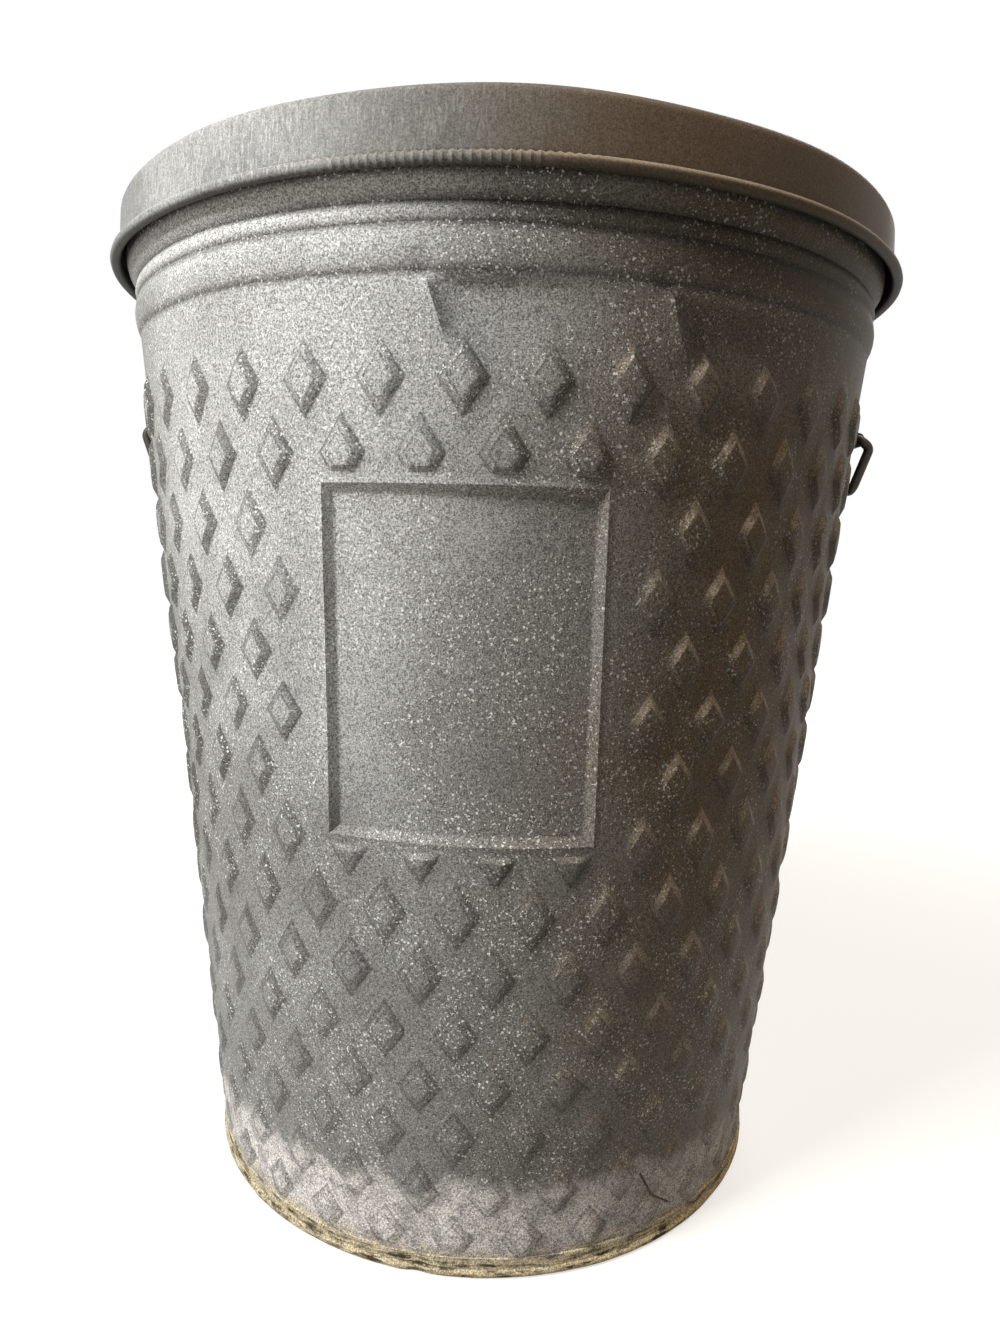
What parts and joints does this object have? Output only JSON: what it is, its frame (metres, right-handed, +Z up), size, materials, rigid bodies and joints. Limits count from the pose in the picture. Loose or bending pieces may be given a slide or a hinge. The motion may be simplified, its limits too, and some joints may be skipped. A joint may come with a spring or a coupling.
{
  "type": "galvanized trash can",
  "caption": "Tapered sheet-steel trash can with a beaded neck, a pressed front panel, swinging wire side handles, a folded base hoop and a loose lid with a strap handle.",
  "frame": {"origin": "centre of the base, on the floor, on the can's axis", "axes": "+Z up, the pressed panel faces -Y, the wire handles are on +X and -X, the lock seam is at +Y"},
  "size_m": [0.492, 0.492, 0.6443],
  "materials": {
    "galvanized_body": "weathered zinc with spangle and pale corrosion towards the base",
    "galvanized_lid": "weathered zinc with fine vertical streaks on the skirt",
    "galvanized_floor": "dull zinc",
    "galvanized_hoop": "zinc with tan rust and dirt",
    "galvanized_ears": "dull zinc",
    "galvanized_strap": "weathered zinc",
    "rivet_steel": "dull steel",
    "rim_steel": "plain drawn wire",
    "bail_wire": "dark rusted wire"
  },
  "bodies": {
    "can": {"body_shell": "galvanized_body", "rim_wire": "rim_steel", "bottom_pan": "galvanized_floor", "base_hoop": "galvanized_hoop", "right_front_ear": "galvanized_ears", "right_rear_ear": "galvanized_ears", "left_front_ear": "galvanized_ears", "left_rear_ear": "galvanized_ears", "right_front_ear_rivets": "rivet_steel", "right_rear_ear_rivets": "rivet_steel", "left_front_ear_rivets": "rivet_steel", "left_rear_ear_rivets": "rivet_steel"},
    "right_handle": {"right_bail": "bail_wire"},
    "left_handle": {"left_bail": "bail_wire"},
    "lid": {"lid_pan": "galvanized_lid", "lid_rim_wire": "rim_steel", "lid_handle": "galvanized_strap", "lid_handle_rivets": "rivet_steel"}
  },
  "joints": [
    {"name": "right_handle_swing", "type": "hinge", "parent": "can", "child": "right_handle", "pos_m": [0.22956, 0, 0.475], "axis": [0, -1, 0], "range_deg": [0, 140]},
    {"name": "left_handle_swing", "type": "hinge", "parent": "can", "child": "left_handle", "pos_m": [-0.22956, 0, 0.475], "axis": [0, 1, 0], "range_deg": [0, 140]},
    {"name": "lid_lift", "type": "slide", "parent": "can", "child": "lid", "axis": [0, 0, 1], "range_m": [0, 0.3]}
  ]
}
